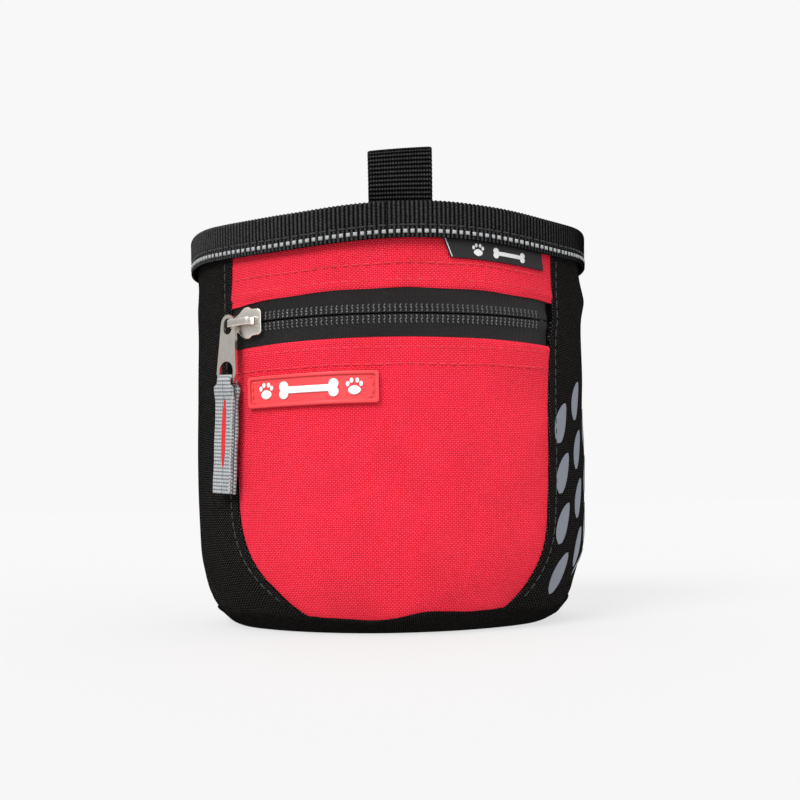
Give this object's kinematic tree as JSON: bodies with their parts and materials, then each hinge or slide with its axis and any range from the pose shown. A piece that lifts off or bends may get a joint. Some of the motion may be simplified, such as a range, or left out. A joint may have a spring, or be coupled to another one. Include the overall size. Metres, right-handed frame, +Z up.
{
  "type": "treat pouch",
  "caption": "Open-topped belt treat pouch in padded woven fabric, with a zipped front pocket, bound rim, hanging loop and belt clip.",
  "frame": {"origin": "middle of the flat underside, on the surface that the pouch stands on", "axes": "+Z up, towards the open rim and the hanging loop; the zipped front faces -Y; +X is the wearer's left as worn, the right as seen from the front"},
  "size_m": [0.1462, 0.1125, 0.1576],
  "materials": {
    "red_fabric": "matt plain-weave polyester, red",
    "black_fabric": "matt plain-weave polyester, black",
    "lining_fabric": "smooth wipe-clean nylon lining, black",
    "padding": "closed-cell foam interlining",
    "stiffener": "polyethylene sheet",
    "black_webbing": "ribbed polyester webbing and grosgrain, black",
    "reflective": "retroreflective dashes on black tape",
    "zip_tape": "coated zip tape with a slight sheen",
    "zip_coil": "nylon coil",
    "nickel": "satin nickel plate",
    "clip_steel": "black-coated spring steel",
    "grey_webbing": "light grey narrow webbing",
    "red_rubber": "soft moulded rubber, red",
    "white_rubber": "soft moulded rubber, white"
  },
  "bodies": {
    "bag": {"front_upper_panel": "red_fabric", "front_lower_panel": "red_fabric", "pocket_back_panel": "lining_fabric", "side_panel_right": "black_fabric", "side_panel_left": "black_fabric", "back_panel": "black_fabric", "foam_wall": "padding", "lining_wall": "lining_fabric", "lining_base": "lining_fabric", "base_panel": "black_fabric", "base_stiffener": "stiffener", "rim_binding": "black_webbing", "reflective_trim": "reflective", "rim_hoop": "stiffener", "zipper_tape_upper": "zip_tape", "zipper_tape_lower": "zip_tape", "zipper_coil_upper": "zip_coil", "zipper_coil_lower": "zip_coil", "zipper_stop_left": "nickel", "zipper_stop_right": "nickel", "rubber_patch": "red_rubber", "patch_emblem": "white_rubber", "side_label": "black_webbing", "loop_tail": "black_webbing", "back_patch": "black_webbing", "belt_clip": "clip_steel", "clip_rivet_lower": "nickel", "clip_rivet_upper": "nickel"},
    "slider": {"slider_body": "nickel", "slider_bail": "nickel"},
    "pull_tab": {"pull_tab": "nickel"},
    "pull_strap": {"pull_webbing": "grey_webbing", "pull_stripe": "red_fabric"},
    "loop": {"top_loop": "black_webbing"}
  },
  "joints": [
    {"name": "slider_travel", "type": "hinge", "parent": "bag", "child": "slider", "pos_m": [0, 0.03025, 0.10305], "axis": [0, 0, 1], "range_deg": [0, 72.8]},
    {"name": "tab_swing", "type": "hinge", "parent": "slider", "child": "pull_tab", "pos_m": [-0.05305, -0.03177, 0.10305], "axis": [-0.5934, -0.8049, 0], "range_deg": [-86, 50]},
    {"name": "pull_swing", "type": "hinge", "parent": "pull_tab", "child": "pull_strap", "pos_m": [-0.0541, -0.03099, 0.0844], "axis": [-0.8029, 0.592, 0.0698], "range_deg": [0, 100]},
    {"name": "loop_fold", "type": "hinge", "parent": "bag", "child": "loop", "pos_m": [0.0044, -0.04075, 0.14], "axis": [-1, 0, 0], "range_deg": [-30, 60], "stiffness_Nm_per_rad": 0.002}
  ]
}
